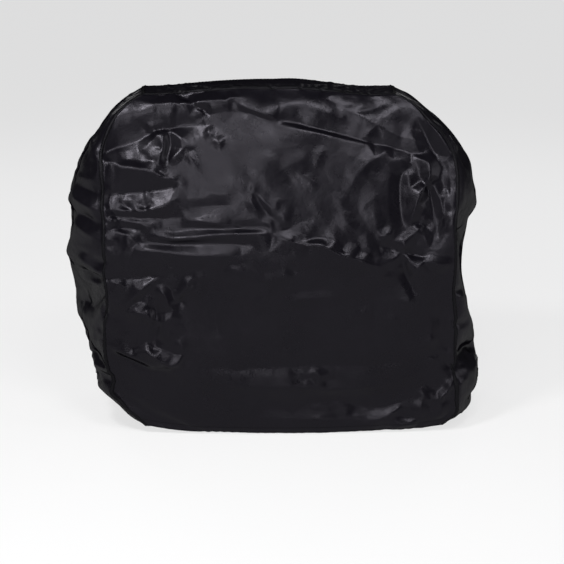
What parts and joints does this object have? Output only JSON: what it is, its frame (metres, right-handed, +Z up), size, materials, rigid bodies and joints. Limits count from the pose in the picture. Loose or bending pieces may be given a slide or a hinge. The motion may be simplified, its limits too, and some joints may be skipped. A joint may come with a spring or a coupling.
{
  "type": "grill cover",
  "caption": "Fitted black vinyl rain cover in its worn shape: boxy body, sloped shoulders, open underneath, with taped seams, a turned hem and a buckled cinch strap on each side.",
  "frame": {"origin": "centre of the top panel's inside face, where the cover rests on the grill's hood", "axes": "+X to the cover's right seen from the front, along its length; +Y from the front to the back; +Z up. The front is -Y."},
  "size_m": [1.0784, 0.505, 0.8781],
  "materials": {
    "vinyl": "semi-gloss vinyl-coated cloth, creased",
    "hem": "semi-gloss vinyl-coated cloth",
    "seam_tape": "satin tape with two rows of stitches",
    "patch": "semi-gloss vinyl-coated cloth, box stitched",
    "webbing": "woven",
    "buckle_plastic": "moulded, satin"
  },
  "bodies": {
    "cover": {"front_panel": "vinyl", "back_panel": "vinyl", "top_panel": "vinyl", "left_side_panel": "vinyl", "right_side_panel": "vinyl", "front_seam_tape": "seam_tape", "back_seam_tape": "seam_tape", "left_shoulder_tape": "seam_tape", "right_shoulder_tape": "seam_tape", "front_hem": "hem", "back_hem": "hem", "left_hem": "hem", "right_hem": "hem", "left_front_patch": "patch", "left_rear_patch": "patch", "left_front_strap": "webbing", "left_rear_strap": "webbing", "left_strap_keeper": "buckle_plastic", "left_buckle_socket": "buckle_plastic", "right_front_patch": "patch", "right_rear_patch": "patch", "right_front_strap": "webbing", "right_rear_strap": "webbing", "right_strap_keeper": "buckle_plastic", "right_buckle_socket": "buckle_plastic"},
    "left_plug": {"left_buckle_plug": "buckle_plastic"},
    "left_arm_upper": {"left_buckle_arm_upper": "buckle_plastic"},
    "left_arm_lower": {"left_buckle_arm_lower": "buckle_plastic"},
    "right_plug": {"right_buckle_plug": "buckle_plastic"},
    "right_arm_upper": {"right_buckle_arm_upper": "buckle_plastic"},
    "right_arm_lower": {"right_buckle_arm_lower": "buckle_plastic"}
  },
  "joints": [
    {"name": "left_buckle_release", "type": "slide", "parent": "cover", "child": "left_plug", "axis": [0, 1, 0], "range_m": [0, 0.03], "deforming": ["left_rear_strap", "left_buckle_arm_upper", "left_buckle_arm_lower"]},
    {"name": "left_buckle_squeeze_upper", "type": "hinge", "parent": "left_plug", "child": "left_arm_upper", "pos_m": [-0.4609, -0.0265, -0.7399], "axis": [1, 0, 0], "range_deg": [0, 12], "stiffness_Nm_per_rad": 0.08, "springref_deg": -1.72},
    {"name": "left_buckle_squeeze_lower", "type": "hinge", "parent": "left_plug", "child": "left_arm_lower", "pos_m": [-0.4609, -0.0265, -0.7631], "axis": [-1, 0, 0], "range_deg": [0, 12], "stiffness_Nm_per_rad": 0.08, "springref_deg": -1.72},
    {"name": "right_buckle_release", "type": "slide", "parent": "cover", "child": "right_plug", "axis": [0, 1, 0], "range_m": [0, 0.03], "deforming": ["right_rear_strap", "right_buckle_arm_upper", "right_buckle_arm_lower"]},
    {"name": "right_buckle_squeeze_upper", "type": "hinge", "parent": "right_plug", "child": "right_arm_upper", "pos_m": [0.5389, -0.0265, -0.7399], "axis": [1, 0, 0], "range_deg": [0, 12], "stiffness_Nm_per_rad": 0.08, "springref_deg": -1.72},
    {"name": "right_buckle_squeeze_lower", "type": "hinge", "parent": "right_plug", "child": "right_arm_lower", "pos_m": [0.5389, -0.0265, -0.7631], "axis": [-1, 0, 0], "range_deg": [0, 12], "stiffness_Nm_per_rad": 0.08, "springref_deg": -1.72}
  ]
}
